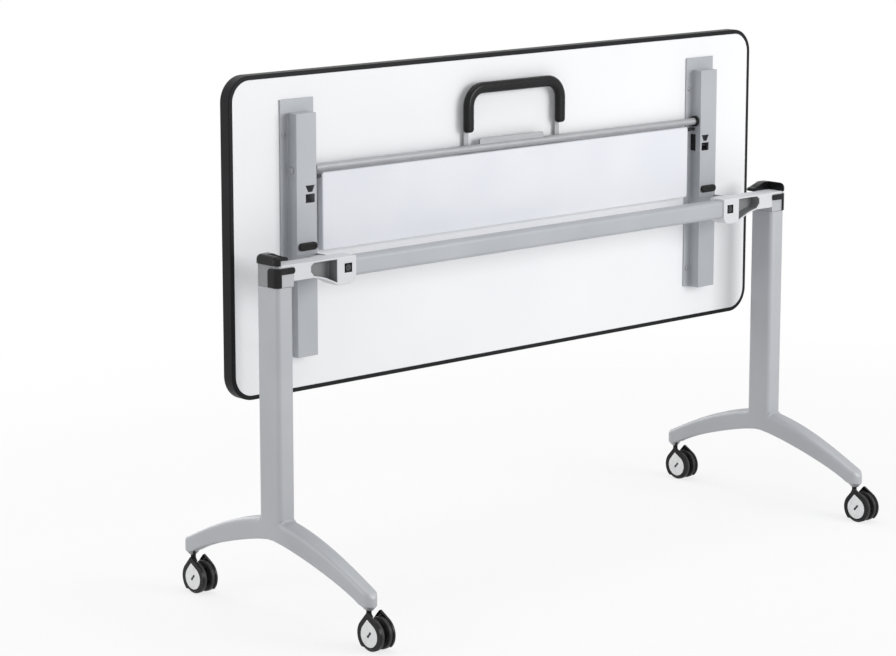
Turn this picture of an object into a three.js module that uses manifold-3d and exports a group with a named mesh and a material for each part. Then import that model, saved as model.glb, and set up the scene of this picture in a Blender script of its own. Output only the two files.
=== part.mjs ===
// Flip top training table, folded upright: millimetres, +Z up, X along the table, -Y is the handle side.
import * as THREE from 'three';
import { mergeVertices } from 'three/addons/utils/BufferGeometryUtils.js';
import Module from 'manifold-3d';

const wasm = await Module();
wasm.setup();

// Clearances, and how far a cutting tool runs past a face or a join sinks into its neighbour
const seatGap = 0.3;
const runningGap = 0.3;
const slotGap = 0.5;
const overcut = 1;

// Table top
const topLength = 1400;
const topDepth = 600;
const topThickness = 25;
const topCornerRadius = 48;
const edgeBandWidth = 6;
const edgeBandRound = 5;
const topCentreAbovePivot = 52.5;

// Casters
const wheelRadius = 30;
const wheelWidth = 11;
const wheelEdge = 3;
const tyreDepth = 9;
const hubRecess = 1.5;
const axleRadius = 3;
const casterTrail = 20;
const casterBodyRadius = 11;
const casterBodyWrap = 1.85 * Math.PI;
const stemRadius = 5;
const stemNeck = 17;
const stemRoot = 4;
const stemCover = 7;
const stemReach = 254;

// Feet
const footRise = 111;
const footArch = 74;
const footCrownRun = 40;
const footHeelRun = 46;
const footHeelRise = 29;
const footTopRun = 75;
const footTopFall = 11;
const footShankRun = 80;
const footShankRise = 40;
const footTipHeight = 29;
const footTipWidth = 30;
const footTipLead = 4;
const footTipShoulder = 6;
const footStemLand = 3;
const footShoulder = 2;
const footSeatLip = 1;
const footSoftEdge = 5;
const footSpigotHeight = 40;
const footBoltRadius = 4;
const footBoltHeadRadius = 7;
const footBoltHeadHeight = 6;
const footBoltTail = 4;

// Columns
const columnInset = 32;
const columnDepth = 60;
const columnWidth = 40;
const columnRound = 10;
const columnWall = 2.5;
const columnLength = 434;
const columnPlate = 8;

// Heads: collar, arm, end block and pivot lug
const headPlugDepth = 45;
const collarHeight = 41;
const neckLength = 48;
const neckHeight = 31;
const armSweep = 4;
const armFlange = 6;
const armPocketDepth = 15;
const armPocketSlope = 3;
const blockReach = 44;
const blockWidth = 43;
const blockRound = 9;
const blockSideWall = 3;
const blockEndWall = 6;
const blockFloor = 12.5;
const recessMargin = 2;
const recessOffset = 2;
const lugWidth = 20;
const lugRadius = 18;
const lugNotchDepth = 5;
const lugWebGap = 9.5;
const pivotPinRadius = 6;
const pivotPinHeadRadius = 9;
const pivotPinHeadHeight = 3;

// Caps
const capOverhang = 2.5;
const capSkirt = 14;
const capDome = 17;
const capSkirtReach = 20;
const capEndStrip = 8;

// Cross beam
const beamHeight = 36;
const beamDepth = 32;
const beamRound = 7;
const beamWall = 2.5;
const beamTopDrop = 3.5;
const beamBoltRadius = 4;
const beamBoltHeadRadius = 6.5;

// Brackets under the top
const bracketOffset = 125;
const bracketSheet = 3;
const bracketUpperInset = 73.5;
const bracketLowerInset = 70.5;
const bracketTab = 24;
const flangeWidth = 16;
const cheekRadius = 16;
const cheekArmGap = 6;
const cheekRoot = 45;
const cheekWrap = 1.35 * Math.PI;
const padWidth = 40;
const padHeight = 25;
const padStand = 6;
const padRound = 5;
const padSoftEdge = 1.5;
const padLanding = 6;
const screwRadius = 2.2;
const screwHeadRadius = 4.5;
const screwHeadHeight = 2.5;
const screwBite = 15;
const screwInset = 40;

// Release rod, handle and latch
const rodRadius = 7;
const rodInset = 179.5;
const rodOverhang = 3;
const handleWidth = 273;
const handleInset = 50.5;
const gripBand = 27;
const gripDepth = 20.5;
const gripCover = 2.2;
const gripBackGap = 1.7;
const gripLegGap = 25;
const gripCorner = 50;
const gripSoftEdge = 6;
const strapWidth = 12;
const strapThickness = 4;
const crankThickness = 4;
const crankHubWall = 3;
const crankPinRadius = 2;
const crankWebGap = 1.2;
const crankBackGap = 2.5;
const crankSideGap = 4;
const crankBarGap = 3;
const barThickness = 4;
const barLand = 4;
const barEdge = 3;
const barRodGap = 0.6;
const barBackGap = 1.9;
const barPlungerGap = 1.5;
const latchTravel = 4.8;
const plungerSize = 9;
const plungerHeel = 6.3;
const pegRadius = 2;
const pegInset = 9.5;
const springTabDrop = 59;
const springTabWidth = 16;
const springTabLength = 24;
const springLength = 39;
const springRadius = 4.2;
const springWireRadius = 0.8;
const springTurns = 7;

// Modesty panel
const panelEndGap = 24;
const panelHeight = 147;
const panelSheet = 1.5;
const panelBelowRod = 3;
const panelBackGap = 5.5;
const panelHingeDrop = 7;
const panelPinRadius = 3;
const panelPinHeadRadius = 4;
const panelPinHeadLength = 3;
const panelPinTail = 3;

// Depths, from the columns' middle back to the upright top
const armFront = -columnDepth / 2;
const armDepth = beamDepth + 2 * blockSideWall;
const armBack = armFront + armDepth;
const armCentreY = armFront + armDepth / 2;
const pivotY = armBack + cheekArmGap + cheekRadius;
const webY = pivotY + lugRadius + lugWebGap;
const webBack = webY + bracketSheet;
const crankHub = rodRadius + seatGap + crankHubWall;
const rodY = webBack + crankWebGap + crankHub;
const strapFront = rodY + rodRadius + seatGap;
const strapBack = strapFront + strapThickness;
const gripBack = strapBack + seatGap + gripCover;
const gripFront = gripBack - gripDepth;
const undersideY = gripBack + gripBackGap;
const topFace = undersideY + topThickness;
const flangeBack = undersideY - seatGap;
const flangeFront = flangeBack - bracketSheet;
const crankArm = undersideY - crankBackGap - 2 * crankPinRadius - rodY;
const stripFront = rodY + rodRadius + barRodGap;
const stripBack = undersideY - barBackGap;
const pegY = webBack + pegInset;
const springY = webY + springTabLength - springTabWidth / 2;
const panelDepth = 2 * (panelPinHeadRadius + slotGap + panelSheet);
const panelBack = undersideY - panelBackGap;
const panelFront = panelBack - panelDepth;
const panelHingeY = panelFront + panelDepth / 2;

// Heights, from the floor up
const casterHeight = 2 * wheelRadius + stemNeck;
const stemDepth = footTipHeight - stemCover;
const footSeat = casterHeight + footRise;
const columnTop = footSeat + columnLength;
const armTop = columnTop + collarHeight;
const blockHeight = beamTopDrop + beamHeight + blockFloor;
const beamZ = armTop - beamTopDrop - beamHeight / 2;
const pivotZ = armTop + seatGap + padStand - (webY - pivotY);
const padZ = pivotZ + pivotY + padLanding;
const topCentreZ = pivotZ + topCentreAbovePivot;
const topUpperEdge = topCentreZ + topDepth / 2;
const topLowerEdge = topCentreZ - topDepth / 2;
const bracketTop = topUpperEdge - bracketUpperInset;
const bracketBottom = topLowerEdge + bracketLowerInset;
const rodZ = topUpperEdge - rodInset;
const handleTop = topUpperEdge - handleInset;
const gripFoot = rodZ + rodRadius + gripLegGap;
const springTabZ = rodZ - springTabDrop;
const springTop = springTabZ - seatGap;
const springBottom = springTop - springLength;
const panelTop = rodZ - rodRadius - panelBelowRod;
const panelHingeZ = panelTop - panelHingeDrop;

// Places along the table, for its right end
const columnX = topLength / 2 - columnInset;
const columnOuterFace = columnX + columnWidth / 2;
const bracketX = columnX - bracketOffset;
const plungerInner = bracketX - plungerSize / 2;
const barInner = plungerInner - barPlungerGap - barThickness;
const barOuter = barInner + barThickness;
const crankInner = barInner - crankBarGap - crankThickness;
const crankOuter = crankInner + crankThickness;
const channelInner = crankInner - crankSideGap - bracketSheet;
const channelOuter = 2 * bracketX - channelInner;
const springX = bracketX + plungerSize / 2;
const panelHalf = channelInner - panelEndGap;
const blockInnerReach = bracketX - blockReach;
const blockOuterReach = blockInnerReach + blockWidth;
const neckReach = columnX - columnWidth / 2 - neckLength;
const beamHalf = blockOuterReach - blockEndWall;
const recessX = blockInnerReach + blockWidth / 2 - recessOffset;
const recessHalf = beamBoltHeadRadius + recessMargin;

// The table stands with its box centred over the origin, the casters trailing towards -Y.
const frontReach = stemReach + casterTrail + wheelRadius;
const rearReach = stemReach + footTipWidth / 2;
const standShift = (frontReach - rearReach) / 2;

const finishes = {
  laminate: { color: 0xf4f5f7, roughness: 0.45, metalness: 0 },
  edging: { color: 0x151515, roughness: 0.5, metalness: 0 },
  silver: { color: 0xb9bcc2, roughness: 0.4, metalness: 0.35 },
  panel: { color: 0xe6e8ee, roughness: 0.5, metalness: 0.1 },
  steel: { color: 0x9a9ca0, roughness: 0.35, metalness: 0.9 },
  blackPlastic: { color: 0x17171a, roughness: 0.45, metalness: 0 },
  rubber: { color: 0x101010, roughness: 0.8, metalness: 0 },
  tyre: { color: 0x141416, roughness: 0.55, metalness: 0 },
};

// Solids and meshes
function toSolid(geometry) {
  const bare = geometry.clone();
  bare.deleteAttribute('normal');
  bare.deleteAttribute('uv');
  const merged = mergeVertices(bare, 1e-4);
  const index = merged.index.array;
  const triangles = [];
  for (let i = 0; i < index.length; i += 3) {
    const [a, b, c] = [index[i], index[i + 1], index[i + 2]];
    if (a !== b && b !== c && c !== a) triangles.push(a, b, c);
  }
  return new wasm.Manifold(new wasm.Mesh({
    numProp: 3,
    vertProperties: new Float32Array(merged.attributes.position.array),
    triVerts: new Uint32Array(triangles),
  }));
}

function toGeometry(solid) {
  const mesh = solid.getMesh();
  const geometry = new THREE.BufferGeometry();
  geometry.setAttribute('position', new THREE.BufferAttribute(new Float32Array(mesh.vertProperties), 3));
  geometry.setIndex(new THREE.BufferAttribute(new Uint32Array(mesh.triVerts), 1));
  geometry.computeVertexNormals();
  return geometry;
}

const join = (first, ...others) => others.reduce((whole, piece) => whole.add(piece), first);
const cut = (first, ...others) => others.reduce((whole, piece) => whole.subtract(piece), first);

// The left copy of a piece drawn for the right end of the table.
function mirrored(geometry) {
  const copy = geometry.clone();
  copy.scale(-1, 1, 1);
  const index = copy.index.array;
  for (let i = 0; i < index.length; i += 3) {
    [index[i + 1], index[i + 2]] = [index[i + 2], index[i + 1]];
  }
  copy.computeVertexNormals();
  return copy;
}

const table = new THREE.Group();
table.name = 'flip_top_table';
table.position.y = standShift;

function place(name, geometry, finish, parent = table, x = 0, y = 0, z = 0) {
  const mesh = new THREE.Mesh(geometry, new THREE.MeshStandardMaterial(finishes[finish]));
  mesh.name = name;
  mesh.position.set(x, y, z);
  parent.add(mesh);
  return mesh;
}

// A piece drawn for the right end goes there, and its mirror image goes to the left end.
function placePair(name, solid, finish) {
  const geometry = toGeometry(solid);
  place(`${name}_right`, geometry, finish);
  place(`${name}_left`, mirrored(geometry), finish);
}

// Outlines
function outline(points) {
  return new THREE.Shape(points.map(([u, v]) => new THREE.Vector2(u, v)));
}

function rectangle(u0, v0, u1, v1) {
  return outline([[u0, v0], [u1, v0], [u1, v1], [u0, v1]]);
}

function roundedRectangle(width, height, radius, u = 0, v = 0) {
  const [w, h] = [width / 2 - radius, height / 2 - radius];
  const shape = new THREE.Shape();
  shape.absarc(u + w, v + h, radius, 0, Math.PI / 2);
  shape.absarc(u - w, v + h, radius, Math.PI / 2, Math.PI);
  shape.absarc(u - w, v - h, radius, Math.PI, 1.5 * Math.PI);
  shape.absarc(u + w, v - h, radius, 1.5 * Math.PI, 2 * Math.PI);
  shape.closePath();
  return shape;
}

function circle(u, v, radius) {
  return new THREE.Shape().absarc(u, v, radius, 0, 2 * Math.PI);
}

// Fineness: an arc gets twice as many steps as these, a Bezier curve as many.
const cornerSteps = 3;
const roundSteps = 6;
const curveSteps = 7;
const wheelSteps = 20;

// Prisms of an outline. A soft edge rounds both rims and leaves the length and the outline's size.
function prism(shape, length, softEdge, curveSegments) {
  const geometry = new THREE.ExtrudeGeometry(shape, {
    depth: length - 2 * softEdge,
    curveSegments,
    bevelEnabled: softEdge > 0,
    bevelThickness: softEdge,
    bevelSize: softEdge,
    bevelOffset: -softEdge,
    bevelSegments: 2,
  });
  return geometry.translate(0, 0, softEdge);
}

// The outline is drawn in Y and Z.
function alongX(shape, x0, x1, softEdge = 0, curveSegments = cornerSteps) {
  const turn = new THREE.Matrix4().set(0, 0, 1, x0, 1, 0, 0, 0, 0, 1, 0, 0, 0, 0, 0, 1);
  return toSolid(prism(shape, x1 - x0, softEdge, curveSegments).applyMatrix4(turn));
}

// The outline is drawn in X and Z.
function alongY(shape, y0, y1, softEdge = 0, curveSegments = cornerSteps) {
  const turn = new THREE.Matrix4().set(1, 0, 0, 0, 0, 0, -1, y1, 0, 1, 0, 0, 0, 0, 0, 1);
  return toSolid(prism(shape, y1 - y0, softEdge, curveSegments).applyMatrix4(turn));
}

// The outline is drawn in X and Y.
function alongZ(shape, z0, z1, softEdge = 0, curveSegments = cornerSteps) {
  return toSolid(prism(shape, z1 - z0, softEdge, curveSegments).translate(0, 0, z0));
}

const box = (x0, y0, z0, x1, y1, z1) => alongZ(rectangle(x0, y0, x1, y1), z0, z1);
const rodAlongX = (y, z, radius, x0, x1) => alongX(circle(y, z, radius), x0, x1, 0, roundSteps);
const rodAlongY = (x, z, radius, y0, y1) => alongY(circle(x, z, radius), y0, y1, 0, roundSteps);
const rodAlongZ = (x, y, radius, z0, z1) => alongZ(circle(x, y, radius), z0, z1, 0, roundSteps);

// Table top: board and edge band, with pilot holes for the bracket screws
const boardLength = topLength - 2 * edgeBandWidth;
const boardDepth = topDepth - 2 * edgeBandWidth;
const boardCorner = topCornerRadius - edgeBandWidth;
const screwPlaces = [];
for (const x of [channelInner - flangeWidth / 2, channelOuter + flangeWidth / 2]) {
  for (const z of [bracketTop - screwInset, bracketBottom + screwInset]) {
    screwPlaces.push([x, z]);
  }
}

function makeTop() {
  const pilotEnd = undersideY + screwBite + overcut;
  const boardShape = roundedRectangle(boardLength, boardDepth, boardCorner, 0, topCentreZ);
  let board = alongY(boardShape, undersideY, topFace);
  for (const [x, z] of screwPlaces) {
    for (const side of [-1, 1]) {
      const pilot = rodAlongY(side * x, z, screwRadius + seatGap, undersideY - overcut, pilotEnd);
      board = cut(board, pilot);
    }
  }
  place('table_top_board', toGeometry(board), 'laminate');

  const outer = roundedRectangle(topLength, topDepth, topCornerRadius, 0, topCentreZ);
  const hole = roundedRectangle(
    boardLength + 2 * seatGap, boardDepth + 2 * seatGap, boardCorner + seatGap, 0, topCentreZ);
  const band = cut(
    alongY(outer, undersideY, topFace, edgeBandRound),
    alongY(hole, undersideY - overcut, topFace + overcut));
  place('edge_band', toGeometry(band), 'edging');
}

// Brackets: hat channel, top tab, cheeks round the pivot, and the spring seat bent in from the web
function makeCheek(x) {
  const shape = new THREE.Shape();
  shape.moveTo(webBack, pivotZ + cheekRadius);
  shape.lineTo(pivotY, pivotZ + cheekRadius);
  shape.absarc(pivotY, pivotZ, cheekRadius, Math.PI / 2, cheekWrap);
  shape.lineTo(webBack, pivotZ - cheekRoot);
  return alongX(shape, x, x + bracketSheet);
}

function makeBracket() {
  const flangeInner = channelInner - flangeWidth;
  const flangeOuter = channelOuter + flangeWidth;
  const wallInner = channelInner + bracketSheet;
  const wallOuter = channelOuter - bracketSheet;
  const hat = outline([
    [flangeInner, flangeBack], [flangeInner, flangeFront], [channelInner, flangeFront],
    [channelInner, webY], [channelOuter, webY], [channelOuter, flangeFront],
    [flangeOuter, flangeFront], [flangeOuter, flangeBack], [wallOuter, flangeBack],
    [wallOuter, webBack], [wallInner, webBack], [wallInner, flangeBack],
  ]);
  const topTab = box(flangeInner, flangeFront, bracketTop, flangeOuter, flangeBack, bracketTop + bracketTab);
  const body = join(
    alongZ(hat, bracketBottom, bracketTop + overcut), topTab,
    makeCheek(channelInner), makeCheek(wallOuter));

  const tabLeft = springX - springTabWidth / 2;
  const tabRight = springX + springTabWidth / 2;
  const tabTop = springTabZ + bracketSheet;
  const springTab = box(tabLeft, webY, springTabZ, tabRight, webY + springTabLength, tabTop);
  const window = box(
    tabLeft, webY - overcut, tabTop, tabRight, webBack + overcut, tabTop + springTabLength);
  const doorHalf = plungerSize / 2 + slotGap;
  const door = box(
    bracketX - doorHalf, webY - overcut, pivotZ - doorHalf,
    bracketX + doorHalf, webBack + overcut, pivotZ + doorHalf);
  const holeStart = channelInner - overcut;
  const holeEnd = channelOuter + overcut;
  const pinHole = rodAlongX(pivotY, pivotZ, pivotPinRadius + runningGap, holeStart, holeEnd);
  const rodHole = rodAlongX(rodY, rodZ, rodRadius + runningGap, holeStart, holeEnd);
  const panelHole = rodAlongX(
    panelHingeY, panelHingeZ, panelPinRadius + seatGap, holeStart, wallInner + overcut);
  const screwHoles = screwPlaces.map(
    ([x, z]) => rodAlongY(x, z, screwRadius + seatGap, flangeFront - overcut, flangeBack + overcut));
  const pressing = cut(body, window, door, pinHole, rodHole, panelHole, ...screwHoles);
  placePair('bracket', join(pressing, springTab), 'silver');
}

function makePads() {
  const shape = roundedRectangle(padWidth, padHeight, padRound, bracketX, padZ);
  placePair('stop_pad', alongY(shape, webY - padStand, webY - seatGap, padSoftEdge), 'rubber');
}

function makeScrews() {
  const headBack = flangeFront - seatGap;
  screwPlaces.forEach(([x, z], i) => {
    const screw = join(
      rodAlongY(x, z, screwHeadRadius, headBack - screwHeadHeight, headBack),
      rodAlongY(x, z, screwRadius, headBack - overcut, undersideY + screwBite));
    placePair(`bracket_screw_${i + 1}`, screw, 'steel');
  });
}

// Release rod, handle strap and grip. An arch has its outer half width, band, foot, top and corner.
function archShape(half, band, foot, top, corner) {
  const shape = new THREE.Shape();
  const inner = half - band;
  const innerCorner = corner - band;
  shape.moveTo(half, foot);
  shape.lineTo(half, top - corner);
  shape.absarc(half - corner, top - corner, corner, 0, Math.PI / 2);
  shape.absarc(corner - half, top - corner, corner, Math.PI / 2, Math.PI);
  shape.lineTo(-half, foot);
  shape.lineTo(-inner, foot);
  shape.absarc(innerCorner - inner, top - band - innerCorner, innerCorner, Math.PI, Math.PI / 2, true);
  shape.absarc(inner - innerCorner, top - band - innerCorner, innerCorner, Math.PI / 2, 0, true);
  shape.lineTo(inner, foot);
  return shape;
}

function makeHandle() {
  const rodEnd = channelOuter + rodOverhang;
  place('release_rod', toGeometry(rodAlongX(rodY, rodZ, rodRadius, -rodEnd, rodEnd)), 'steel');

  const inset = (gripBand - strapWidth) / 2;
  const strapHalf = handleWidth / 2 - inset;
  const strapFoot = rodZ - rodRadius;
  const strapTop = handleTop - inset;
  const strapCorner = gripCorner - inset;
  const strap = archShape(strapHalf, strapWidth, strapFoot, strapTop, strapCorner);
  place('handle_strap', toGeometry(alongY(strap, strapFront, strapBack)), 'steel');

  const grip = archShape(handleWidth / 2, gripBand, gripFoot, handleTop, gripCorner);
  const groove = archShape(
    strapHalf + seatGap, strapWidth + 2 * seatGap, strapFoot, strapTop + seatGap, strapCorner + seatGap);
  const moulding = cut(
    alongY(grip, gripFront, gripBack, gripSoftEdge, curveSteps),
    alongY(groove, strapFront - seatGap, strapBack + seatGap, 0, curveSteps));
  place('handle_grip', toGeometry(moulding), 'blackPlastic');
}

// Latch: crank on the rod, bar lifted by the crank pin, plunger drawn back by the bar's slanted slot
function makeCranks() {
  const pinY = rodY + crankArm;
  const eye = 2 * crankPinRadius;
  const plate = join(
    rodAlongX(rodY, rodZ, crankHub, crankInner, crankOuter),
    box(crankInner, rodY, rodZ - eye, crankOuter, pinY, rodZ + eye),
    rodAlongX(pinY, rodZ, eye, crankInner, crankOuter));
  const bore = rodAlongX(rodY, rodZ, rodRadius + seatGap, crankInner - overcut, crankOuter + overcut);
  const pin = rodAlongX(pinY, rodZ, crankPinRadius, crankOuter - overcut, barOuter + overcut);
  placePair('release_crank', join(cut(plate, bore), pin), 'steel');
}

function makeBars() {
  const jaw = crankPinRadius + slotGap;
  const slotHalf = pegRadius + slotGap;
  const plateTop = pivotZ + slotHalf + barLand;
  const plateBottom = pivotZ - latchTravel - slotHalf - barLand;
  const seatTop = springBottom - seatGap;
  const bar = join(
    box(barInner, stripFront, plateBottom, barOuter, stripBack, rodZ + jaw + barEdge),
    box(barInner, pegY - slotHalf - barEdge, plateBottom, barOuter, stripBack, plateTop),
    box(barInner, springY - springTabWidth / 2, seatTop - barThickness,
      springX + springTabWidth / 2, stripBack, seatTop));
  const fork = box(
    barInner - overcut, stripFront - overcut, rodZ - jaw,
    barOuter + overcut, rodY + crankArm + jaw, rodZ + jaw);
  const slot = outline([
    [-slotHalf, slotHalf], [-slotHalf, -slotHalf], [latchTravel - slotHalf, -latchTravel - slotHalf],
    [latchTravel + slotHalf, -latchTravel - slotHalf], [latchTravel + slotHalf, slotHalf - latchTravel],
    [slotHalf, slotHalf],
  ].map(([back, up]) => [pegY + back, pivotZ + up]));
  const slotTool = alongX(slot, barInner - overcut, barOuter + overcut);
  placePair('latch_bar', cut(bar, fork, slotTool), 'steel');
}

function makePlungers() {
  const half = plungerSize / 2;
  const tip = pivotY + lugRadius + runningGap;
  const plunger = join(
    box(bracketX - half, tip, pivotZ - half, bracketX + half, pegY + plungerHeel, pivotZ + half),
    rodAlongX(pegY, pivotZ, pegRadius, barInner - slotGap, bracketX));
  placePair('latch_plunger', plunger, 'steel');
}

// Coil spring: one round wire wound upwards, closed by flat ends. Prints its least gap between turns.
function makeSprings() {
  const stepsPerTurn = 8;
  const sides = 5;
  const steps = springTurns * stepsPerTurn;
  const climb = springLength - 2 * springWireRadius;
  const angleAt = (i) => (2 * Math.PI * i) / stepsPerTurn;
  const centre = (i) => new THREE.Vector3(
    springX + springRadius * Math.cos(angleAt(i)),
    springY + springRadius * Math.sin(angleAt(i)),
    springBottom + springWireRadius + (climb * i) / steps);
  const positions = [];
  for (let i = 0; i <= steps; i += 1) {
    const outward = new THREE.Vector3(Math.cos(angleAt(i)), Math.sin(angleAt(i)), 0);
    for (let k = 0; k < sides; k += 1) {
      const turn = (2 * Math.PI * k) / sides;
      const point = centre(i).addScaledVector(outward, springWireRadius * Math.cos(turn));
      positions.push(point.x, point.y, point.z + springWireRadius * Math.sin(turn));
    }
  }
  const index = [];
  for (let i = 0; i < steps; i += 1) {
    for (let k = 0; k < sides; k += 1) {
      const [a, b] = [i * sides + k, i * sides + ((k + 1) % sides)];
      index.push(a, a + sides, b, b, a + sides, b + sides);
    }
  }
  const last = steps * sides;
  for (let k = 1; k < sides - 1; k += 1) {
    index.push(0, k, k + 1, last, last + k + 1, last + k);
  }
  const geometry = new THREE.BufferGeometry();
  geometry.setAttribute('position', new THREE.Float32BufferAttribute(positions, 3));
  geometry.setIndex(index);

  let least = Infinity;
  for (let i = 0; i <= steps; i += 1) {
    for (let k = i + stepsPerTurn / 2; k <= steps; k += 1) {
      least = Math.min(least, centre(i).distanceTo(centre(k)) - 2 * springWireRadius);
    }
  }
  console.log(`latch spring: least gap between turns ${least.toFixed(2)} mm`);
  placePair('latch_spring', toSolid(geometry), 'steel');
}

// Modesty panel: a shallow folded pan hung on two pins by its top edge
function makePanel() {
  const panelBottom = panelTop - panelHeight;
  const inside = panelHalf - panelSheet;
  const pan = cut(
    box(-panelHalf, panelFront, panelBottom, panelHalf, panelBack, panelTop),
    box(-inside, panelFront + panelSheet, panelBottom + panelSheet,
      inside, panelBack + overcut, panelTop - panelSheet),
    rodAlongX(
      panelHingeY, panelHingeZ, panelPinRadius + runningGap, -panelHalf - overcut, panelHalf + overcut));
  place('modesty_panel', toGeometry(pan), 'panel');

  const headEnd = inside - runningGap;
  const pinEnd = channelInner + bracketSheet + panelPinTail;
  const pin = join(
    rodAlongX(panelHingeY, panelHingeZ, panelPinHeadRadius, headEnd - panelPinHeadLength, headEnd),
    rodAlongX(panelHingeY, panelHingeZ, panelPinRadius, headEnd - overcut, pinEnd));
  placePair('panel_pin', pin, 'steel');
}

// Cross beam and the bolts that lock it into the head blocks
function beamSection(offset) {
  return roundedRectangle(
    beamDepth + 2 * offset, beamHeight + 2 * offset, beamRound + offset, armCentreY, beamZ);
}

function makeBeam() {
  const boltHoles = [-1, 1].map((side) => rodAlongY(
    side * recessX, beamZ, beamBoltRadius + seatGap, armFront - overcut, armBack + overcut));
  const beam = cut(
    alongX(beamSection(0), -beamHalf, beamHalf),
    alongX(beamSection(-beamWall), -beamHalf - overcut, beamHalf + overcut),
    ...boltHoles);
  place('cross_beam', toGeometry(beam), 'silver');

  const beamFront = armCentreY - beamDepth / 2;
  const bolt = join(
    rodAlongY(recessX, beamZ, beamBoltHeadRadius, armFront + seatGap, beamFront - seatGap),
    rodAlongY(recessX, beamZ, beamBoltRadius, beamFront - overcut, armBack - overcut));
  placePair('beam_bolt', bolt, 'steel');
}

// Columns: tubes with a tapped plate inside, over the foot's spigot
function columnSection(offset) {
  return roundedRectangle(
    columnWidth + 2 * offset, columnDepth + 2 * offset, columnRound + offset, columnX, 0);
}

function makeColumns() {
  const bottom = footSeat + seatGap;
  const plateBottom = footSeat + footSpigotHeight + seatGap;
  const plateTop = plateBottom + columnPlate;
  const column = cut(
    alongZ(columnSection(0), bottom, columnTop),
    alongZ(columnSection(-columnWall), bottom - overcut, plateBottom),
    alongZ(columnSection(-columnWall), plateTop, columnTop + overcut),
    rodAlongZ(columnX, 0, footBoltRadius + seatGap, plateBottom - overcut, plateTop + overcut));
  placePair('column', column, 'silver');
}

// Heads: a collar and plug on the column, an arm to the beam's block, and a lug behind it for the flip pivot
function armProfile() {
  const blockBottom = armTop - blockHeight;
  const neckBottom = armTop - neckHeight;
  const shape = new THREE.Shape();
  shape.moveTo(columnX, armTop);
  shape.lineTo(blockInnerReach, armTop);
  shape.lineTo(blockInnerReach, blockBottom + blockRound);
  shape.absarc(
    blockInnerReach + blockRound, blockBottom + blockRound, blockRound, Math.PI, 1.5 * Math.PI);
  shape.lineTo(blockOuterReach, blockBottom);
  shape.quadraticCurveTo((blockOuterReach + neckReach) / 2, neckBottom - armSweep, neckReach, neckBottom);
  shape.lineTo(columnX, neckBottom);
  return shape;
}

function armPocket() {
  const blockSide = blockOuterReach + armFlange / 2;
  const neckSide = neckReach + armFlange;
  return outline([
    [neckSide, armTop - armFlange - armPocketSlope],
    [blockSide, armTop - armFlange],
    [blockSide, armTop - blockHeight + 2 * armFlange],
    [neckSide, armTop - neckHeight + armFlange],
  ]);
}

function makeHeads() {
  const lugInner = bracketX - lugWidth / 2;
  const lugOuter = bracketX + lugWidth / 2;
  const casting = join(
    alongZ(columnSection(0), columnTop + seatGap, armTop),
    alongZ(columnSection(-columnWall - seatGap), columnTop - headPlugDepth, columnTop + overcut),
    alongY(armProfile(), armFront, armBack, 0, curveSteps),
    rodAlongX(pivotY, pivotZ, lugRadius, lugInner, lugOuter),
    box(lugInner, armBack - overcut, pivotZ - lugRadius, lugOuter, pivotY, pivotZ + lugRadius));
  const notchHalf = plungerSize / 2 + slotGap;
  const notchFloor = lugRadius - lugNotchDepth;
  const cutStart = lugInner - overcut;
  const cutEnd = lugOuter + overcut;
  const recess = rectangle(
    recessX - recessHalf, beamZ - recessHalf, recessX + recessHalf, beamZ + recessHalf);
  const head = cut(
    casting,
    alongY(armPocket(), armFront - overcut, armFront + armPocketDepth),
    alongX(beamSection(seatGap), blockInnerReach - overcut, beamHalf + seatGap),
    alongY(recess, armFront - overcut, armCentreY),
    rodAlongY(recessX, beamZ, beamBoltRadius + seatGap, armCentreY, armBack + overcut),
    rodAlongX(pivotY, pivotZ, pivotPinRadius + seatGap, cutStart, cutEnd),
    box(cutStart, pivotY + notchFloor, pivotZ - notchHalf,
      cutEnd, pivotY + lugRadius + overcut, pivotZ + notchHalf),
    box(cutStart, pivotY - notchHalf, pivotZ + notchFloor,
      cutEnd, pivotY + notchHalf, pivotZ + lugRadius + overcut));
  placePair('head', head, 'silver');

  const innerHead = channelInner - seatGap;
  const outerHead = channelOuter + seatGap;
  const pin = join(
    rodAlongX(pivotY, pivotZ, pivotPinHeadRadius, innerHead - pivotPinHeadHeight, innerHead),
    rodAlongX(pivotY, pivotZ, pivotPinRadius, innerHead - overcut, outerHead + overcut),
    rodAlongX(pivotY, pivotZ, pivotPinHeadRadius, outerHead, outerHead + pivotPinHeadHeight));
  placePair('pivot_pin', pin, 'steel');
}

// Caps: a dome behind and beside the arm, a band across the front and a tongue down the outer front corner
function makeCaps() {
  const bandBottom = armTop - capSkirt;
  const dressTop = armTop + capDome;
  const tongueEdge = columnOuterFace - columnRound;
  const stripEdge = columnOuterFace - capEndStrip;
  const skirtBack = armFront + capSkirtReach;
  const [west, east] = [columnX - columnWidth, columnX + columnWidth];
  const [front, back] = [-columnDepth, columnDepth];
  const floor = columnTop - 3 * columnRound;
  const cap = cut(
    alongZ(columnSection(capOverhang), columnTop - 2 * columnRound, dressTop, columnRound),
    alongZ(columnSection(seatGap), floor, armTop + seatGap),
    box(west, front, floor, east, back, columnTop + seatGap),
    box(west, skirtBack, floor, east, back, armTop + seatGap),
    box(west, front, floor, tongueEdge, back, bandBottom),
    box(west, armFront - seatGap, floor, stripEdge, armBack + seatGap, dressTop + overcut),
    box(west, front, armTop, stripEdge, armBack + seatGap, dressTop + overcut));
  placePair('cap', cap, 'blackPlastic');
}

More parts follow.
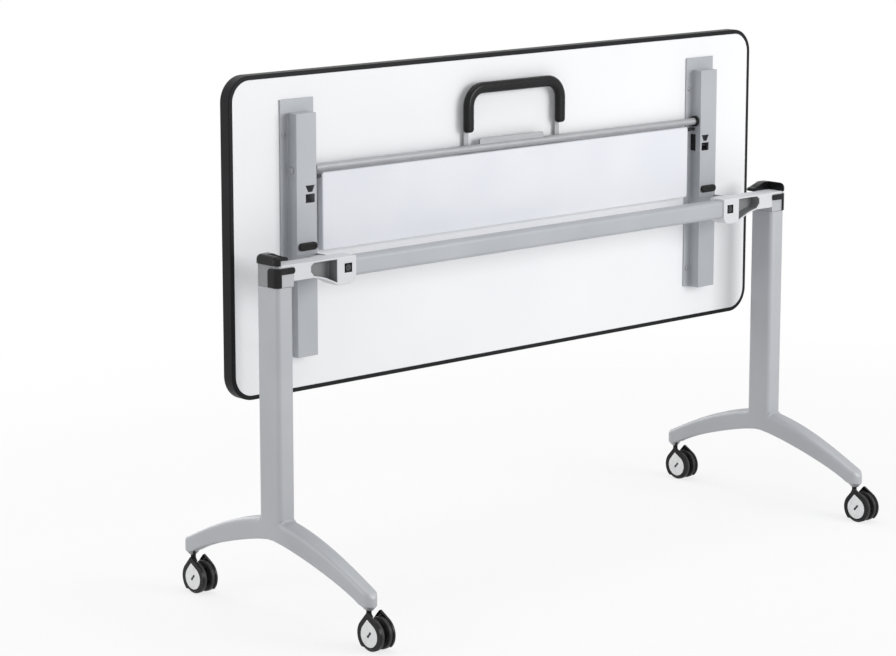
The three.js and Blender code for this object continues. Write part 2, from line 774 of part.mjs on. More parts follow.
// Feet: an arched casting with a spigot into the column
function footProfile() {
  const seatHalf = columnDepth / 2 + footSeatLip;
  const stemSeat = stemRadius + footStemLand;
  const [heel, toe] = [stemReach - stemSeat, stemReach + stemSeat];
  const tip = stemReach + footTipWidth / 2;
  const tipTop = casterHeight + footTipHeight;
  const tipMiddle = casterHeight + footTipHeight / 2;
  const topEnd = stemReach + footTipLead;
  const archTop = casterHeight + footArch;
  const heelTop = casterHeight + footHeelRise;
  const rootTop = footSeat - footTopFall;
  const shankTop = tipTop + footShankRise;
  const shape = new THREE.Shape();
  shape.moveTo(seatHalf, footSeat);
  shape.bezierCurveTo(seatHalf + footTopRun, rootTop, topEnd - footShankRun, shankTop, topEnd, tipTop);
  shape.quadraticCurveTo(tip, tipTop - footTipShoulder, tip, tipMiddle);
  shape.quadraticCurveTo(tip, casterHeight, toe, casterHeight);
  shape.lineTo(heel, casterHeight);
  shape.bezierCurveTo(heel - footHeelRun, heelTop, footCrownRun, archTop, 0, archTop);
  shape.bezierCurveTo(-footCrownRun, archTop, footHeelRun - heel, heelTop, -heel, casterHeight);
  shape.lineTo(-toe, casterHeight);
  shape.quadraticCurveTo(-tip, casterHeight, -tip, tipMiddle);
  shape.quadraticCurveTo(-tip, tipTop - footTipShoulder, -topEnd, tipTop);
  shape.bezierCurveTo(
    footShankRun - topEnd, shankTop, -seatHalf - footTopRun, rootTop, -seatHalf, footSeat);
  return shape;
}

function footPlan(root, tip) {
  const plan = new THREE.Shape();
  plan.moveTo(columnX + root, -columnDepth / 2);
  plan.lineTo(columnX + root, columnDepth / 2);
  plan.lineTo(columnX + tip, stemReach);
  plan.absarc(columnX, stemReach, tip, 0, Math.PI);
  plan.lineTo(columnX - root, columnDepth / 2);
  plan.lineTo(columnX - root, -columnDepth / 2);
  plan.lineTo(columnX - tip, -stemReach);
  plan.absarc(columnX, -stemReach, tip, Math.PI, 2 * Math.PI);
  return plan;
}

function makeFeet() {
  const root = columnWidth / 2 + footShoulder;
  const spigotTop = footSeat + footSpigotHeight;
  const boltSeat = casterHeight + footArch + footBoltHeadHeight;
  const arch = alongX(footProfile(), columnX - root, columnX + root, footSoftEdge, curveSteps)
    .intersect(alongZ(footPlan(root, footTipWidth / 2), 0, footSeat + overcut, 0, curveSteps));
  const spigot = alongZ(
    columnSection(-columnWall - seatGap), footSeat - 2 * footSoftEdge, spigotTop);
  const stemBores = [-1, 1].map((end) => rodAlongZ(
    columnX, end * stemReach, stemRadius + runningGap,
    casterHeight - overcut, casterHeight + stemDepth + runningGap));
  const foot = cut(
    join(arch, spigot), ...stemBores,
    rodAlongZ(columnX, 0, footBoltRadius + seatGap, casterHeight, spigotTop + overcut),
    rodAlongZ(columnX, 0, footBoltHeadRadius + seatGap, casterHeight, boltSeat + seatGap));
  placePair('foot', foot, 'silver');

  const boltEnd = spigotTop + columnPlate + footBoltTail;
  const bolt = join(
    rodAlongZ(columnX, 0, footBoltHeadRadius, boltSeat - footBoltHeadHeight, boltSeat),
    rodAlongZ(columnX, 0, footBoltRadius, boltSeat - overcut, boltEnd));
  placePair('foot_bolt', bolt, 'steel');
}

// Casters: each is drawn about its stem, at floor level
const casterHalf = stemRadius;

function wheelGeometry() {
  const bore = axleRadius + runningGap;
  const hub = wheelRadius - tyreDepth;
  const shoulder = wheelRadius - wheelEdge;
  const profile = [
    [bore, hubRecess], [hub, hubRecess], [hub, 0], [shoulder, 0], [wheelRadius, wheelEdge],
    [wheelRadius, wheelWidth - wheelEdge], [shoulder, wheelWidth], [hub, wheelWidth],
    [hub, wheelWidth - hubRecess], [bore, wheelWidth - hubRecess], [bore, hubRecess],
  ].map(([r, u]) => new THREE.Vector2(r, u));
  return new THREE.LatheGeometry(profile, wheelSteps).rotateZ(-Math.PI / 2);
}

function casterBody() {
  const shoulder = 2 * wheelRadius;
  const shape = new THREE.Shape();
  shape.moveTo(-stemRadius, shoulder);
  shape.lineTo(-casterTrail - casterBodyRadius, wheelRadius);
  shape.absarc(-casterTrail, wheelRadius, casterBodyRadius, Math.PI, casterBodyWrap);
  shape.lineTo(stemRadius, shoulder);
  const bore = rodAlongX(
    -casterTrail, wheelRadius, axleRadius + seatGap, -casterHalf - overcut, casterHalf + overcut);
  const stem = rodAlongZ(0, 0, stemRadius, shoulder - stemRoot, casterHeight + stemDepth);
  return toGeometry(join(cut(alongX(shape, -casterHalf, casterHalf), bore), stem));
}

function makeCasters() {
  const body = casterBody();
  const wheel = toGeometry(toSolid(wheelGeometry()));
  const innerFace = casterHalf + slotGap;
  const axleHalf = innerFace + wheelWidth - hubRecess;
  const axle = toGeometry(rodAlongX(0, 0, axleRadius, -axleHalf, axleHalf));
  for (const [sideName, x] of [['left', -columnX], ['right', columnX]]) {
    for (const [endName, y] of [['front', -stemReach], ['back', stemReach]]) {
      const name = `${endName}_${sideName}`;
      const caster = new THREE.Group();
      caster.position.set(x, y, 0);
      table.add(caster);
      place(`caster_body_${name}`, body, 'blackPlastic', caster);
      place(`caster_axle_${name}`, axle, 'steel', caster, 0, -casterTrail, wheelRadius);
      place(`wheel_a_${name}`, wheel, 'tyre', caster, -innerFace - wheelWidth, -casterTrail, wheelRadius);
      place(`wheel_b_${name}`, wheel, 'tyre', caster, innerFace, -casterTrail, wheelRadius);
    }
  }
}

makeTop();
makeBracket();
makePads();
makeScrews();
makeHandle();
makeCranks();
makeBars();
makePlungers();
makeSprings();
makePanel();
makeBeam();
makeColumns();
makeHeads();
makeCaps();
makeFeet();
makeCasters();

export default table;
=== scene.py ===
"""Looks of the flip top training table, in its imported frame: metres, rest pose with the top folded upright."""

import math

import bmesh
import bpy
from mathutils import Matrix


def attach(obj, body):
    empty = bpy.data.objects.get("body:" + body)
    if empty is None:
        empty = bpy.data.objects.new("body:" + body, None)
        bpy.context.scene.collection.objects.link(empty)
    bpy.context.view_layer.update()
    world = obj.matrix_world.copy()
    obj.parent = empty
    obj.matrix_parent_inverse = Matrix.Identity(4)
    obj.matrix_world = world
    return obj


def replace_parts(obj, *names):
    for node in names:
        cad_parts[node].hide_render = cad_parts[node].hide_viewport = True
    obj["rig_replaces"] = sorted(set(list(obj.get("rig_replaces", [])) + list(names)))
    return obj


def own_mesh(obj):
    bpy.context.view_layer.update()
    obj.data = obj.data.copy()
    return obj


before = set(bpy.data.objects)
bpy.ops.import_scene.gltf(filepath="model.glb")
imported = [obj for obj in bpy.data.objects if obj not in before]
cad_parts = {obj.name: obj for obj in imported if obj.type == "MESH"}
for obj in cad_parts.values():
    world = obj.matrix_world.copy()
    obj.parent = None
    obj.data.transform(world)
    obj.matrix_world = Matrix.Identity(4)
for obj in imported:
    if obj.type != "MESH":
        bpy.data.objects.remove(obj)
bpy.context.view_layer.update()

MM = 0.001
SIDES = {"right": 1, "left": -1}
ENDS = {"front": -236.5, "back": 271.5}

# Camera at the photograph's angle

lens = bpy.data.cameras.new("camera")
lens.lens = 120.7
lens.sensor_width = 36.0
lens.sensor_fit = "HORIZONTAL"
camera = bpy.data.objects.new("camera", lens)
camera.location = (-4.049, -4.1265, 1.586)
camera.rotation_euler = (math.radians(78.961), 0, math.radians(-42.5607))
bpy.context.scene.collection.objects.link(camera)
bpy.context.scene.camera = camera
bpy.context.scene.view_settings.view_transform = "Standard"


# Modelling by hand: sizes and places in millimetres


def deselect():
    """Leaves nothing selected, so that an operator acts on one piece only."""
    bpy.ops.object.select_all(action="DESELECT")


def take(piece):
    """Makes one piece the only one selected, and the active one."""
    deselect()
    piece.select_set(True)
    bpy.context.view_layer.objects.active = piece
    return piece


def settle(name):
    """Names the new primitive and puts its place and size into its mesh."""
    piece = bpy.context.object
    piece.name = name
    bpy.ops.object.transform_apply(location=True, rotation=True, scale=True)
    return piece


def cube(name, low, high):
    """A cube from its lowest to its highest corner."""
    deselect()
    middle = [(a + b) / 2 * MM for a, b in zip(low, high)]
    size = [(b - a) * MM for a, b in zip(low, high)]
    bpy.ops.mesh.primitive_cube_add(size=1, location=middle, scale=size)
    return settle(name)


def cylinder(name, centre, radius, length, axis="X", sides=48):
    """A cylinder about its centre, along X, Y or Z."""
    deselect()
    turn = {"X": (0, math.pi / 2, 0), "Y": (math.pi / 2, 0, 0), "Z": (0, 0, 0)}[axis]
    place = [value * MM for value in centre]
    bpy.ops.mesh.primitive_cylinder_add(
        vertices=sides, radius=radius * MM, depth=length * MM, location=place, rotation=turn
    )
    return settle(name)


def sheet(name, west, east, bottom, top, depth):
    """A flat upright sheet across the table, at one depth."""
    deselect()
    middle = [(west + east) / 2 * MM, depth * MM, (bottom + top) / 2 * MM]
    bpy.ops.mesh.primitive_plane_add(size=1, location=middle, rotation=(math.pi / 2, 0, 0))
    settle(name)
    bpy.ops.transform.resize(value=((east - west) * MM, 1, (top - bottom) * MM), center_override=middle)
    return settle(name)


def edit():
    """Starts edit mode on the active piece."""
    bpy.ops.object.mode_set(mode="EDIT")


def leave():
    """Ends edit mode."""
    bpy.ops.object.mode_set(mode="OBJECT")


def select(kind, test):
    """Selects the faces, edges or corners whose middle, and normal or direction, pass a test."""
    bpy.ops.mesh.select_mode(type=kind)
    bpy.ops.mesh.select_all(action="DESELECT")
    shape = bmesh.from_edit_mesh(bpy.context.object.data)
    if kind == "FACE":
        found = [(face, face.calc_center_median(), face.normal) for face in shape.faces]
    elif kind == "EDGE":
        found = [
            (edge, (edge.verts[0].co + edge.verts[1].co) / 2, (edge.verts[1].co - edge.verts[0].co).normalized())
            for edge in shape.edges
        ]
    else:
        found = [(corner, corner.co, corner.normal) for corner in shape.verts]
    for item, place, way in found:
        if test(place / MM, way):
            item.select_set(True)
    bmesh.update_edit_mesh(bpy.context.object.data)


def near(value, target, slack=0.05):
    """Whether two places agree."""
    return abs(value - target) < slack


def extrude(x, y, z):
    """Extrudes the selection."""
    shift = (x * MM, y * MM, z * MM)
    bpy.ops.mesh.extrude_region_move(TRANSFORM_OT_translate={"value": shift})


def move(x, y, z):
    """Moves the selection."""
    bpy.ops.transform.translate(value=(x * MM, y * MM, z * MM))


def grow(x, y, z, centre):
    """Scales the selection about a point."""
    bpy.ops.transform.resize(value=(x, y, z), center_override=[value * MM for value in centre])


def inset(width, depth=0.0):
    """Insets the selected faces."""
    bpy.ops.mesh.inset(thickness=width * MM, depth=depth * MM)


def bevel(width, segments):
    """Rounds the selected edges."""
    bpy.ops.mesh.bevel(offset=width * MM, segments=segments, affect="EDGES", clamp_overlap=True)


def bisect(point, way):
    """Cuts a line of edges across the selected faces."""
    place = [value * MM for value in point]
    bpy.ops.mesh.bisect(plane_co=place, plane_no=way)


def weld():
    """Merges the corners that lie on each other, and turns all faces outwards."""
    bpy.ops.mesh.select_all(action="SELECT")
    bpy.ops.mesh.remove_doubles(threshold=0.00002)
    bpy.ops.mesh.normals_make_consistent(inside=False)


def soften(piece, width, segments=3, angle=35):
    """Rounds every edge sharper than an angle."""
    take(piece)
    rounding = piece.modifiers.new("rounding", "BEVEL")
    rounding.width = width * MM
    rounding.segments = segments
    rounding.limit_method = "ANGLE"
    rounding.angle_limit = math.radians(angle)
    bpy.ops.object.modifier_apply(modifier=rounding.name)
    return piece


def thicken(piece, thickness, offset):
    """Gives a sheet its thickness: offset -1 grows it behind its normals, 0 to both sides."""
    take(piece)
    wall = piece.modifiers.new("wall", "SOLIDIFY")
    wall.thickness = thickness * MM
    wall.offset = offset
    wall.use_even_offset = True
    bpy.ops.object.modifier_apply(modifier=wall.name)
    return piece


def cut_away(piece, tool):
    """Cuts a tool's shape out of a piece, and removes the tool."""
    take(piece)
    cutter = piece.modifiers.new("cutter", "BOOLEAN")
    cutter.operation = "DIFFERENCE"
    cutter.solver = "EXACT"
    cutter.object = tool
    bpy.ops.object.modifier_apply(modifier=cutter.name)
    take(tool)
    bpy.ops.object.delete()
    return take(piece)


def join(piece, *others):
    """Makes several shells one piece."""
    take(piece)
    for other in others:
        other.select_set(True)
    bpy.ops.object.join()
    edit()
    weld()
    leave()
    return piece


def copy(piece, name, shift=(0, 0, 0)):
    """A copy of a piece with its own mesh, moved."""
    take(piece)
    bpy.ops.object.duplicate()
    bpy.ops.transform.translate(value=[value * MM for value in shift])
    twin = settle(name)
    twin.pop("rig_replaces", None)
    return twin


def mirror(piece, name):
    """A copy of a piece on the other end of the table, with its faces turned outwards again."""
    take(piece)
    bpy.ops.object.duplicate()
    bpy.ops.transform.resize(value=(-1, 1, 1), center_override=(0, 0, 0))
    twin = settle(name)
    twin.pop("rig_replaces", None)
    bpy.ops.mesh.customdata_custom_splitnormals_clear()
    edit()
    weld()
    leave()
    return twin


def dress(piece, body, slot, finish, *nodes, angle=35):
    """Gives a piece its finish and smooth shading, and ties it to its body and solids; the slot argument is not used.
    """
    take(piece)
    bpy.ops.object.shade_smooth_by_angle(angle=math.radians(angle))
    shading = piece.modifiers.new("flat_faces_stay_flat", "WEIGHTED_NORMAL")
    shading.keep_sharp = True
    bpy.ops.object.modifier_apply(modifier=shading.name)
    if not piece.data.materials:
        piece.data.materials.append(finish)
    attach(piece, body)
    if nodes:
        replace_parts(piece, *nodes)
    return piece


# Shader maths


class Value:
    """A node's output that takes part in Python arithmetic."""

    def __init__(self, finish, output):
        self.finish = finish
        self.output = output

    def math(self, operation, first, second):
        return self.finish.add("ShaderNodeMath", {"operation": operation}, {0: first, 1: second})

    def __add__(self, other):
        return self.math("ADD", self, other)

    def __radd__(self, other):
        return self.math("ADD", other, self)

    def __sub__(self, other):
        return self.math("SUBTRACT", self, other)

    def __rsub__(self, other):
        return self.math("SUBTRACT", other, self)

    def __mul__(self, other):
        return self.math("MULTIPLY", self, other)

    def __rmul__(self, other):
        return self.math("MULTIPLY", other, self)


class Finish:
    """A material: its shader's fixed values, and the nodes that feed it."""

    def __init__(self, name, fixed):
        self.material = bpy.data.materials.new(name)
        self.material.use_nodes = True
        self.tree = self.material.node_tree
        self.shader = self.tree.nodes["Principled BSDF"]
        for socket, value in fixed.items():
            self.shader.inputs[socket].default_value = value
        self.place = self.add("ShaderNodeTexCoord", {}, {}, "Object")

    def add(self, kind, settings, inputs, output=0):
        """Adds one node: its type, its settings, the values or links of its sockets, and the output to use."""
        node = self.tree.nodes.new(kind)
        for setting, value in settings.items():
            if setting == "stops":
                for stop, (position, colour) in zip(node.color_ramp.elements, value):
                    stop.position = position
                    stop.color = colour
            else:
                setattr(node, setting, value)
        for socket, value in inputs.items():
            self.link(node.inputs[socket], value)
        return Value(self, node.outputs[output])

    def link(self, socket, value):
        if isinstance(value, Value):
            self.tree.links.new(value.output, socket)
        else:
            socket.default_value = value

    def feed(self, socket, value):
        """Feeds one socket of the shader."""
        self.link(self.shader.inputs[socket], value)

    def stretched(self, x, y, z):
        """The piece's own place, stretched along its axes."""
        return self.add("ShaderNodeMapping", {}, {"Vector": self.place, "Scale": (x, y, z)})

    def noise(self, scale, detail=3.0, place=None):
        """Soft noise from 0 to 1."""
        vector = self.place if place is None else place
        return self.add("ShaderNodeTexNoise", {}, {"Vector": vector, "Scale": scale, "Detail": detail})

    def shades(self, mask, dark, light):
        """A colour between two, by a mask."""
        stops = [(0.3, (*dark, 1)), (0.7, (*light, 1))]
        return self.add("ShaderNodeValToRGB", {"stops": stops}, {"Fac": mask})

    def relief(self, height, strength, depth):
        """Bump from a height, with its depth in millimetres."""
        inputs = {"Strength": strength, "Distance": depth * MM, "Height": height}
        self.feed("Normal", self.add("ShaderNodeBump", {}, inputs))


def make_laminate():
    """White laminate: a fine pearl texture, faintly cloudy."""
    finish = Finish("white_laminate", {"Specular IOR Level": 0.45})
    cloud = finish.noise(3.0, 2.0)
    grain = finish.noise(900.0, 2.0)
    finish.feed("Base Color", finish.shades(cloud, (0.86, 0.872, 0.892), (0.9, 0.908, 0.92)))
    finish.feed("Roughness", 0.26 + grain * 0.12)
    finish.relief(grain, 0.12, 0.1)
    return finish.material


def make_edging():
    """Black moulded edging, satin, with a fine grain."""
    finish = Finish("black_edging", {"Specular IOR Level": 0.14})
    grain = finish.noise(1400.0, 3.0)
    cloud = finish.noise(9.0, 2.0)
    finish.feed("Base Color", finish.shades(cloud, (0.006, 0.006, 0.007), (0.011, 0.011, 0.013)))
    finish.feed("Roughness", 0.34 + grain * 0.2)
    finish.relief(grain, 0.15, 0.15)
    return finish.material


def make_silver(name, dark, light, metallic):
    """Silver powder coat: fine flakes and an orange peel surface."""
    finish = Finish(name, {"Metallic": metallic, "Specular IOR Level": 0.45})
    flake = finish.noise(2600.0, 1.0)
    peel = finish.noise(420.0, 2.0)
    cloud = finish.noise(6.0, 2.0)
    tone = cloud * 0.6 + flake * 0.4
    finish.feed("Base Color", finish.shades(tone, dark, light))
    finish.feed("Roughness", 0.42 + flake * 0.14)
    finish.relief(peel, 0.14, 0.2)
    return finish.material


def make_panel_coat():
    """Pale powder coat on the panel."""
    finish = Finish("panel_coat", {"Specular IOR Level": 0.4})
    peel = finish.noise(520.0, 2.0)
    cloud = finish.noise(4.0, 2.0)
    finish.feed("Base Color", finish.shades(cloud, (0.76, 0.775, 0.83), (0.83, 0.84, 0.88)))
    finish.feed("Roughness", 0.38 + peel * 0.14)
    finish.relief(peel, 0.15, 0.2)
    return finish.material


def make_grey_steel():
    """Light grey steel with drawing lines along the table."""
    finish = Finish("grey_steel", {"Metallic": 0.35})
    lines = finish.noise(60.0, 4.0, finish.stretched(0.6, 14.0, 14.0))
    finish.feed("Base Color", finish.shades(lines, (0.34, 0.345, 0.36), (0.42, 0.425, 0.44)))
    finish.feed("Roughness", 0.42 + lines * 0.16)
    finish.relief(lines, 0.08, 0.1)
    return finish.material


def make_bright_steel():
    """Zinc plated steel, lightly spangled."""
    finish = Finish("bright_steel", {"Metallic": 1.0})
    spangle = finish.add(
        "ShaderNodeTexVoronoi", {"feature": "F1"}, {"Vector": finish.place, "Scale": 900.0}, "Distance"
    )
    lines = finish.noise(700.0, 3.0)
    finish.feed("Base Color", finish.shades(spangle, (0.42, 0.43, 0.45), (0.52, 0.53, 0.54)))
    finish.feed("Roughness", 0.22 + lines * 0.14)
    finish.relief(lines, 0.06, 0.08)
    return finish.material


def make_dark_steel():
    """Blackened steel of the bolts."""
    finish = Finish("dark_steel", {"Metallic": 0.9})
    stain = finish.noise(300.0, 3.0)
    finish.feed("Base Color", finish.shades(stain, (0.035, 0.036, 0.04), (0.07, 0.071, 0.076)))
    finish.feed("Roughness", 0.32 + stain * 0.2)
    finish.relief(stain, 0.08, 0.1)
    return finish.material


def make_black_plastic():
    """Glossy black moulded plastic."""
    finish = Finish("black_plastic", {"Specular IOR Level": 0.22})
    grain = finish.noise(1600.0, 2.0)
    cloud = finish.noise(40.0, 2.0)
    finish.feed("Base Color", finish.shades(cloud, (0.006, 0.006, 0.007), (0.011, 0.011, 0.012)))
    finish.feed("Roughness", 0.2 + cloud * 0.12)
    finish.relief(grain, 0.06, 0.08)
    return finish.material


def make_grip_plastic():
    """Satin black grip with a fine leather grain."""
    finish = Finish("grip_plastic", {"Specular IOR Level": 0.22})
    cells = finish.add(
        "ShaderNodeTexVoronoi", {"feature": "F1"}, {"Vector": finish.place, "Scale": 620.0}, "Distance"
    )
    cloud = finish.noise(30.0, 2.0)
    finish.feed("Base Color", finish.shades(cloud, (0.004, 0.004, 0.005), (0.008, 0.008, 0.009)))
    finish.feed("Roughness", 0.2 + cells * 0.1)
    finish.relief(cells, 0.18, 0.25)
    return finish.material


def make_rubber():
    """Matt black rubber with a dusty tone."""
    finish = Finish("pad_rubber", {"Specular IOR Level": 0.3})
    dust = finish.noise(260.0, 4.0)
    finish.feed("Base Color", finish.shades(dust, (0.008, 0.008, 0.008), (0.02, 0.02, 0.02)))
    finish.feed("Roughness", 0.62 + dust * 0.2)
    finish.relief(dust, 0.2, 0.2)
    return finish.material


def make_tyre():
    """Black tyre, worn a little lighter in patches."""
    finish = Finish("wheel_tyre", {"Specular IOR Level": 0.4})
    wear = finish.noise(120.0, 4.0)
    finish.feed("Base Color", finish.shades(wear, (0.009, 0.009, 0.01), (0.022, 0.022, 0.024)))
    finish.feed("Roughness", 0.4 + wear * 0.2)
    finish.relief(wear, 0.15, 0.2)
    return finish.material


def make_hub_white():
    """Pale moulded hub."""
    finish = Finish("pale_hub", {"Specular IOR Level": 0.5})
    cloud = finish.noise(60.0, 2.0)
    finish.feed("Base Color", finish.shades(cloud, (0.78, 0.785, 0.79), (0.85, 0.853, 0.857)))
    finish.feed("Roughness", 0.24 + cloud * 0.14)
    finish.relief(finish.noise(900.0), 0.08, 0.1)
    return finish.material


LAMINATE = make_laminate()
EDGING = make_edging()
SILVER = make_silver("silver_coat", (0.37, 0.385, 0.41), (0.45, 0.465, 0.49), 0.2)
LEG_SILVER = make_silver("leg_silver_coat", (0.4, 0.412, 0.435), (0.47, 0.483, 0.505), 0.25)
# The cast heads' coat: a paler copy of the silver, painted light standing in for the light that falls on the arms'
# tops.
PAINTED_LIGHT_SILVER = make_silver("painted_light_silver_coat", (0.6, 0.61, 0.63), (0.68, 0.69, 0.71), 0.1)
# A darker grey copy of the silver: the collar's outer face in its own darker tone, and painted shade in the arms'
# pockets.
GREY_CAST_AND_POCKET_SHADE = make_silver("grey_cast_and_pocket_shade_coat", (0.24, 0.25, 0.255), (0.29, 0.3, 0.305), 0.1)
PANEL_COAT = make_panel_coat()
GREY_STEEL = make_grey_steel()
BRIGHT_STEEL = make_bright_steel()
DARK_STEEL = make_dark_steel()
BLACK_PLASTIC = make_black_plastic()
GRIP_PLASTIC = make_grip_plastic()
RUBBER = make_rubber()
TYRE = make_tyre()
HUB_WHITE = make_hub_white()


# Pieces of the top


def build_edge_trim():
    """The black edging: a rounded frame round the board, with a rounded rim and a lip over both faces."""
    trim = cube("edge_trim", (-700, 104.5, 394.3), (700, 130.5, 994.3))

    def corner_distance(place):
        return math.hypot(max(abs(place.x) - 652, 0), max(abs(place.z - 694.3) - 252, 0))

    edit()
    select("EDGE", lambda place, way: abs(way.y) > 0.9)
    bevel(48, 16)
    select("FACE", lambda place, way: abs(way.y) > 0.9)
    inset(8.5)
    bpy.ops.mesh.delete(type="FACE")
    bpy.ops.mesh.select_mode(type="EDGE")
    bpy.ops.mesh.select_non_manifold()
    bpy.ops.mesh.bridge_edge_loops()
    select("EDGE", lambda place, way: abs(way.y) < 0.1 and corner_distance(place) > 46)
    bevel(2.2, 4)
    weld()
    leave()
    dress(trim, "top", "edge_band", EDGING, "edge_band", angle=50)


def build_brackets():
    """Pressed hat-section brackets: folded from one sheet, with closed square ends, ears, two windows and a door."""
    web_front, flange = 76.5, 103.2
    rise = flange - web_front
    west, east = 520.5, 565.5
    foot, head = 467.3, 918.3
    bracket = sheet("bracket_plate_right", west, east, foot, head, web_front)
    edit()
    select("EDGE", lambda place, way: abs(way.z) > 0.9)
    extrude(0, rise, 0)
    select("VERT", lambda place, way: near(place.y, flange) and near(place.z, head))
    move(0, 0, 1)
    select("VERT", lambda place, way: near(place.y, flange) and near(place.z, foot))
    move(0, 0, -1)
    for line, out in ((west, -17.5), (east, 17.5)):
        select("EDGE", lambda place, way: near(place.x, line) and near(place.y, flange))
        extrude(out, 0, 0)
    for line, rise_z in ((head, 1), (foot, -1)):
        select("EDGE", lambda place, way: near(place.z, line) and near(place.y, web_front) and abs(way.x) > 0.9)
        extrude(0, rise, rise_z)
    weld()
    select("EDGE", lambda place, way: near(place.z, head + 1) and near(place.y, flange))
    extrude(0, 0, 25.5)
    openings = ((524, 545, 753.6, 769.6), (524, 545, 773.4, 785.6), (538, 548, 636.8, 646.8))
    for left, right, low, high in openings:
        for point, way in (((left, 0, 0), (1, 0, 0)), ((right, 0, 0), (1, 0, 0)),
                           ((0, 0, low), (0, 0, 1)), ((0, 0, high), (0, 0, 1))):
            select("FACE", lambda place, way: abs(way.y) > 0.9 and near(place.y, web_front))
            bisect(point, way)
    for left, right, low, high in openings:
        select("FACE", lambda place, way: left < place.x < right and low < place.z < high)
        bpy.ops.mesh.delete(type="FACE")
    for side, shift in ((524, 5.5), (545, -5.5)):
        select("VERT", lambda place, way: near(place.x, side) and near(place.z, 773.4) and near(place.y, web_front))
        move(shift, 0, 0)
    weld()
    leave()
    thicken(bracket, 3, 0)
    soften(bracket, 1.1, 3, 30)
    bracket.data.materials.append(SILVER)
    ears = []
    for low, high in ((519, 522), (564, 567)):
        ear = cube("ear", (low, 31.8, 625.8), (high, 78, 657.8))
        edit()
        select("EDGE", lambda place, way: abs(way.x) > 0.9 and place.y < 40)
        bevel(15.9, 10)
        leave()
        ear.data.materials.append(SILVER)
        ears.append(soften(ear, 0.5, 2, 50))
    seat = soften(cube("seat", (539.5, 77, 755.8), (555.5, 99, 758.8)), 0.6, 2, 50)
    # A thin black plate on the inner wall: painted shade standing in for a dark window into the channel.
    window_shade_plate = soften(cube("window_shade_plate", (517.6, 88.6, 752.6), (520.2, 101, 786.6)), 0.8, 2, 50)
    for inner in (seat, window_shade_plate):
        inner.data.materials.append(BLACK_PLASTIC)
    join(bracket, seat, window_shade_plate, *ears)
    dress(bracket, "top", "silver_coat", SILVER, "bracket_right")
    dress(mirror(bracket, "bracket_plate_left"), "top", "silver_coat", SILVER, "bracket_left")


def build_stop_pads():
    """Black rubber stops: rounded pads with a dished middle."""
    pad = cube("rubber_stop_right", (522, 69, 666), (564, 74.7, 680.4))
    edit()
    select("EDGE", lambda place, way: abs(way.y) > 0.9)
    bevel(6.8, 8)
    select("EDGE", lambda place, way: near(place.y, 69))
    bevel(2, 4)
    select("FACE", lambda place, way: way.y < -0.9 and near(place.y, 69))
    inset(2.6)
    inset(0.8, -1)
    leave()
    dress(pad, "top", "pad_rubber", RUBBER, "stop_pad_right")
    dress(mirror(pad, "rubber_stop_left"), "top", "pad_rubber", RUBBER, "stop_pad_left")


def build_screws():
    """Bracket screws: domed heads with a cross recess."""
    first = cylinder("screw_1_right", (511, 100.2, 880.8), 4.5, 2.6, "Y", 32)
    edit()
    select("EDGE", lambda place, way: near(place.y, 98.9))
    bevel(1.4, 4)
    leave()
    arms = [cube("arm", (510.4, 98, 878.4), (511.6, 100, 883.2)), cube("arm", (508.6, 98, 880.2), (513.4, 100, 881.4))]
    for arm in arms:
        cut_away(first, arm)
    places = {1: (0, 0), 2: (0, -376), 3: (64, 0), 4: (64, -376)}
    for number, (across, down) in places.items():
        screw = first
        if number > 1:
            screw = copy(first, f"screw_{number}_right", (across, 0, down))
        dress(screw, "top", "grey_steel", GREY_STEEL, f"bracket_screw_{number}_right")
        twin = mirror(screw, f"screw_{number}_left")
        dress(twin, "top", "grey_steel", GREY_STEEL, f"bracket_screw_{number}_left")


# Release gear and panel


def build_release_rod():
    """The long release rod, with chamfered ends and a flat rib between the strap's feet."""
    rod = cylinder("long_release_rod", (0, 89.5, 814.8), 7, 1140, "X", 48)
    edit()
    select("EDGE", lambda place, way: near(abs(place.x), 570) and abs(way.x) < 0.1)
    bevel(1.5, 3)
    leave()
    rib = cube("rib", (-96, 86.5, 816), (76, 92, 832))
    edit()
    select("EDGE", lambda place, way: abs(way.y) > 0.9 and place.z > 831)
    bevel(4, 5)
    leave()
    soften(rib, 0.7, 2, 50)
    join(rod, rib)
    dress(rod, "handle", "grey_steel", GREY_STEEL, "release_rod")


def build_rod_bushes():
    """Black bushes in the brackets' inner walls, where the rod goes through."""
    bush = cylinder("rod_bush_right", (516.2, 89.5, 814.8), 11, 5.4, "X", 40)
    edit()
    select("EDGE", lambda place, way: near(place.x, 513.5) and abs(way.x) < 0.1)
    bevel(1.6, 4)
    leave()
    cut_away(bush, cylinder("bore", (516.2, 89.5, 814.8), 7.4, 20, "X", 40))
    dress(bush, "top", "black_plastic", BLACK_PLASTIC)
    dress(mirror(bush, "rod_bush_left"), "top", "black_plastic", BLACK_PLASTIC)


